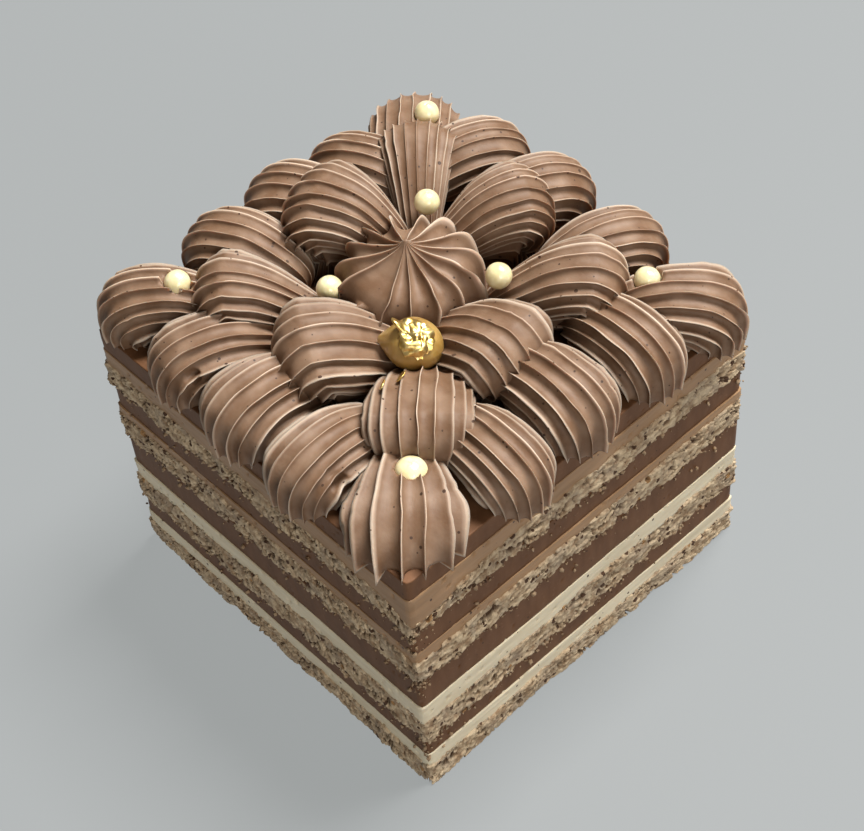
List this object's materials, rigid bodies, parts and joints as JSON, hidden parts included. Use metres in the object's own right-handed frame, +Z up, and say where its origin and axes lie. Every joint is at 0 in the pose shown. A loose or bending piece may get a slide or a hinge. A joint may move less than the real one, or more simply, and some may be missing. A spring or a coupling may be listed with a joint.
{
  "type": "layered chocolate hazelnut cake",
  "caption": "Square layered cake of sponge, cream and ganache with piped buttercream shells, pearls and a hazelnut on top.",
  "frame": {"origin": "middle of the flat underside", "axes": "+Z up, the four cut sides face +X, -X, +Y and -Y; the picture's near corner is at +X, -Y"},
  "size_m": [0.1106, 0.109, 0.0932],
  "materials": {
    "sponge": "open hazelnut sponge crumb, cut",
    "pale_cream": "pale cream, smeared by the knife",
    "tan_cream": "tan hazelnut cream, smeared by the knife",
    "ganache": "smooth set chocolate ganache",
    "buttercream": "smooth piped chocolate buttercream",
    "pearl": "glossy cream-coloured coating",
    "hazelnut": "caramel-glazed nut",
    "gold": "crumpled gold leaf"
  },
  "bodies": {
    "root": {"sponge_1": "sponge", "cream_1": "pale_cream", "ganache_1": "ganache", "sponge_2": "sponge", "cream_2": "pale_cream", "ganache_2": "ganache", "sponge_3": "sponge", "cream_3": "tan_cream", "ganache_3": "ganache", "sponge_4": "sponge", "cream_4": "tan_cream", "ganache_4": "ganache", "centre_rosette": "buttercream", "inner_shell_front_right": "buttercream", "inner_shell_front": "buttercream", "inner_shell_right": "buttercream", "inner_shell_front_left": "buttercream", "inner_shell_back_right": "buttercream", "inner_shell_left": "buttercream", "inner_shell_back": "buttercream", "inner_shell_back_left": "buttercream", "corner_shell_front_right": "buttercream", "edge_shell_front_3": "buttercream", "edge_shell_right_1": "buttercream", "edge_shell_front_2": "buttercream", "edge_shell_right_2": "buttercream", "edge_shell_front_1": "buttercream", "edge_shell_right_3": "buttercream", "corner_shell_front_left": "buttercream", "corner_shell_back_right": "buttercream", "edge_shell_left_1": "buttercream", "edge_shell_back_3": "buttercream", "edge_shell_left_2": "buttercream", "edge_shell_back_2": "buttercream", "edge_shell_left_3": "buttercream", "edge_shell_back_1": "buttercream", "corner_shell_back_left": "buttercream", "pearl_1": "pearl", "pearl_2": "pearl", "pearl_3": "pearl", "pearl_4": "pearl", "pearl_5": "pearl", "pearl_6": "pearl", "pearl_7": "pearl", "hazelnut": "hazelnut", "gold_leaf": "gold"}
  },
  "joints": []
}
